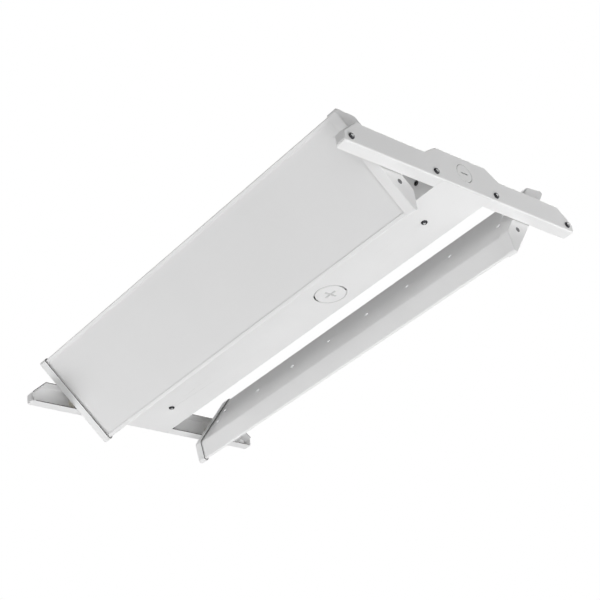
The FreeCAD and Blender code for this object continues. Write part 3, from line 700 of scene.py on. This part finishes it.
def rivet(steps=32):
    """Blind rivet along +Z from the board to the outside: set tail, shank, and a dimpled dome."""
    grip = PAN_SHEET + BOARD
    quarter = np.linspace(0, math.pi / 2, 7)
    head, shank, dimple = 2.3 * MM, 1.6 * MM, 0.54 * MM
    tail_rim, tail_dome, dome = 0.15 * MM, 0.55 * MM, 0.9 * MM
    r = [*(head * np.sin(quarter)), head, shank, shank, *(head * np.cos(0.82 * quarter)),
         dimple, 0]
    h = [*(-grip - tail_rim - tail_dome * np.cos(quarter)), -grip, -grip, 0,
         *(dome * np.sin(quarter)), 0.45 * MM, 0.4 * MM]
    return turned(r, h, steps)


def rounded_square(length, width, corner):
    """Points of a rounded rectangle, anticlockwise.

    At the angle t lies (sx (length / 2 - corner) + corner cos t, sy (width / 2 - corner) +
    corner sin t), where sx and sy are the signs of cos t and sin t.
    """
    t = turn_angles(OUTLINE_POINTS) + math.pi / OUTLINE_POINTS
    sign_x, sign_y = np.sign(np.cos(t)), np.sign(np.sin(t))
    return np.stack([sign_x * (length / 2 - corner) + corner * np.cos(t),
                     sign_y * (width / 2 - corner) + corner * np.sin(t)], axis=-1)


def led_package():
    """LED along +Z: a white box with a rim, and a shallow yellow dome set into its top.

    It is a stack of outlines, each (length, width, corner, height) in millimetres; the last two
    and the point that closes the top are the dome, with material 1.
    """
    box = [(3.5, 2.8, 0.25, 0.0), (3.5, 2.8, 0.25, 0.6), (3.3, 2.6, 0.2, 0.7), (2.9, 2.2, 0.5, 0.7)]
    dome = [(2.8, 2.1, 0.5, 0.55), (1.4, 1.0, 0.4, 0.68)]
    rows = [np.column_stack([rounded_square(a * MM, b * MM, c * MM),
                             np.full(OUTLINE_POINTS, h * MM)]) for a, b, c, h in box + dome]
    rows = [rows[0] * (0, 0, 1), *rows, rows[-1] * (0, 0, 1)]
    faces = grid_faces(len(rows), OUTLINE_POINTS)
    in_dome = np.arange(len(faces)) >= OUTLINE_POINTS * (len(box) + 1)
    return np.concatenate(rows), faces, in_dome.astype(int)


print("an LED has", len(led_package()[1]), "faces and a rivet", len(rivet()[1]))

# %% [markdown]
# ## Into the tilted panels
#
# Each small piece is made along +Z and then carried to its place in the panel. That could be a
# turned object per piece, but one mesh for all rivets or LEDs is lighter, so the points themselves
# are carried, along the panel's own three directions at its tilt.

# %% The panels' small pieces in place
def evenly(count, step):
    """Places one step apart, with their middle at 0."""
    return step * (np.arange(count) - (count - 1) / 2)


def on_panel(side, tilt, surface, x, u, n, way):
    """The surface at (x, u, n) of a tilted panel, with its +Z along the (x, u, n) direction way."""
    sign = -1 if side == "left" else 1
    across = np.array([0, sign * math.cos(tilt), math.sin(tilt)])
    deep = np.array([0, -sign * math.sin(tilt), math.cos(tilt)])
    place = np.array([x, sign * pivot_y, pivot_z]) + u * across + (n - PIVOT_DEPTH) * deep
    axis = way[0] * np.array([1, 0, 0]) + way[1] * across + way[2] * deep
    side_axis = np.array([1, 0, 0]) if way[0] == 0 else across
    basis = np.stack([side_axis, np.cross(axis, side_axis), axis])
    return (surface[0] @ basis + place, *surface[1:])


for side in ("left", "right"):
    tilt = math.radians(-joints[side + "_tilt"]["range_deg"][0])
    cap_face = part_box(side + "_lead_cap")[1][0]
    board_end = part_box(side + "_led_board")[1][0]
    pan_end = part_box(side + "_pan")[1][0]
    new_piece(side + "_cap_screws", [
        on_panel(side, tilt, flat_head(CAP_SCREW_LENGTH), end * cap_face, row * CAP_SCREW_U,
                 CAP_SCREW_N, (-end, 0, 0))
        for end in (-1, 1) for row in (-1, 1)])
    places = [(x, 0) for x in evenly(MIDDLE_RIVETS, MIDDLE_RIVET_STEP)]
    places += [(end * (board_end - END_RIVET_INSET), row * END_RIVET_U)
               for end in (-1, 1) for row in (-1, 1)]
    new_piece(side + "_board_rivets", [
        on_panel(side, tilt, rivet(), x, u, BACK_INSIDE + PAN_SHEET, (0, 0, 1))
        for x, u in places])
    leds = [on_panel(side, tilt, led_package(), x, row * LED_U, BACK_INSIDE - BOARD, (0, 0, -1))
            for x in evenly(LED_ROWS, LED_STEP) for row in (-1, 1)]
    new_piece(side + "_leds", leds, [LED_PACKAGE, PHOSPHOR])
    new_piece(side + "_panel_bushing", [
        on_panel(side, tilt, snap_bushing(PAN_SHEET), pan_end - BUSHING_INSET, BUSHING_U,
                 BACK_INSIDE, (0, 0, 1))])
    print(side, "panel: 4 screws,", len(places), "rivets,", len(leds), "LEDs")

# %% [markdown]
# ## Studio
#
# A hung light is seen against nothing. The world shows white to the camera, to glossy rays and to
# rays that go through, and a faint grey to the rest, so the backdrop's white adds no light. A
# white wall behind the light could do this too, but it would throw light back on to the part. The
# pale floor is far below and keeps the soft shadow that a real room would have.

# %% World and floor
WHITE = (1, 1, 1, 1)
AMBIENT = 0.05                      # strength of the world for the rays that carry plain light
FLOOR_DROP = 1.9                    # of the floor below the light's lowest point
FLOOR_SIZE = 12.0
FLOOR_LIFT = 0.82                   # glow of the floor for rays that see it directly


def seen_directly(tree):
    """1 for camera, glossy and transmission rays, and 0 for the rays that carry plain light."""
    path = add(tree, "ShaderNodeLightPath").outputs
    either = add(tree, "ShaderNodeMath", operation="MAXIMUM",
                 links={0: path["Is Camera Ray"], 1: path["Is Glossy Ray"]})
    any_of_them = add(tree, "ShaderNodeMath", operation="MAXIMUM",
                      links={0: either.outputs[0], 1: path["Is Transmission Ray"]})
    return any_of_them.outputs[0]


def make_world():
    """A world that is white where it is seen, and gives a faint, even light."""
    world = bpy.data.worlds.new("studio")
    world.use_nodes = True
    tree = world.node_tree
    tree.nodes.clear()
    plain = add(tree, "ShaderNodeBackground", values={"Color": WHITE, "Strength": AMBIENT})
    seen = add(tree, "ShaderNodeBackground", values={"Color": WHITE, "Strength": 1.0})
    mix = add(tree, "ShaderNodeMixShader",
              links={"Fac": seen_directly(tree), 1: plain.outputs[0], 2: seen.outputs[0]})
    add(tree, "ShaderNodeOutputWorld", links={"Surface": mix.outputs[0]})
    bpy.context.scene.world = world


def make_floor():
    """A wide pale floor well below the light, that keeps shadows and shows nearly white."""
    material = bpy.data.materials.new("studio_floor")
    material.use_nodes = True
    tree = material.node_tree
    tree.nodes.clear()
    matt = add(tree, "ShaderNodeBsdfDiffuse", values={"Color": linear("#f2f2f2")})
    part = add(tree, "ShaderNodeMath", operation="MULTIPLY", links={0: seen_directly(tree)},
               values={1: FLOOR_LIFT})
    lift = add(tree, "ShaderNodeEmission", links={"Strength": part.outputs[0]})
    both = add(tree, "ShaderNodeAddShader", links={0: matt.outputs[0], 1: lift.outputs[0]})
    add(tree, "ShaderNodeOutputMaterial", links={"Surface": both.outputs[0]})
    half = FLOOR_SIZE / 2
    drop = solid_box[0][2] - FLOOR_DROP
    mesh = bpy.data.meshes.new("floor")
    mesh.from_pydata([(-half, -half, drop), (half, -half, drop), (half, half, drop),
                      (-half, half, drop)], [], [(0, 1, 2, 3)])
    mesh.materials.append(material)
    floor = bpy.data.objects.new("floor", mesh)
    bpy.context.scene.collection.objects.link(floor)


make_world()
make_floor()
print("white world, and a floor", FLOOR_SIZE, "m wide")

# %% [markdown]
# ## Soft lamps
#
# White sheet steel shows its form only by small steps of grey from face to face, so each direction
# gets its own amount of light. Four wide soft lamps stand round the light and below it, the
# strongest of them under its near end, and a fifth is above it for the sides that face the
# ceiling. A small one lifts the far end, which the others reach less. A wide square lamp gives the
# same even light as a softbox, and unlike a sun it makes no hard shadow.

# %% Lamps
LAMP_DISTANCE = 1.7
LAMP_SIZE = 1.2


def soft_lamp(name, turn, drop, watts, distance=LAMP_DISTANCE, size=LAMP_SIZE):
    """A square lamp, turned about Z from +X and lowered by degrees, that faces the middle."""
    data = bpy.data.lights.new(name, "AREA")
    data.shape = "SQUARE"
    data.size = size
    data.energy = watts
    lamp = bpy.data.objects.new(name, data)
    bpy.context.scene.collection.objects.link(lamp)
    turn, drop = math.radians(turn), math.radians(drop)
    back = np.array([math.cos(drop) * math.cos(turn), math.cos(drop) * math.sin(turn),
                     -math.sin(drop)])
    side = np.cross([0, 0, 1], back)
    side /= np.linalg.norm(side)
    matrix = np.eye(4)
    matrix[:3, :3] = np.column_stack([side, np.cross(back, side), back])
    matrix[:3, 3] = distance * back
    lamp.matrix_world = Matrix(matrix.tolist())
    lamp.visible_camera = False
    print(name, watts, "W")


soft_lamp("lamp_under_near_end", 0, 60, 13.3)
soft_lamp("lamp_near_left", 315, 20, 6.2)
soft_lamp("lamp_near_right", 45, 20, 9.9)
soft_lamp("lamp_far_left", 225, 20, 10.9)
soft_lamp("lamp_above", 90, -42, 19.0)
soft_lamp("lamp_close_to_far_end", 180, 55, 0.8, distance=0.8, size=0.6)
bpy.context.scene.view_settings.view_transform = "Standard"
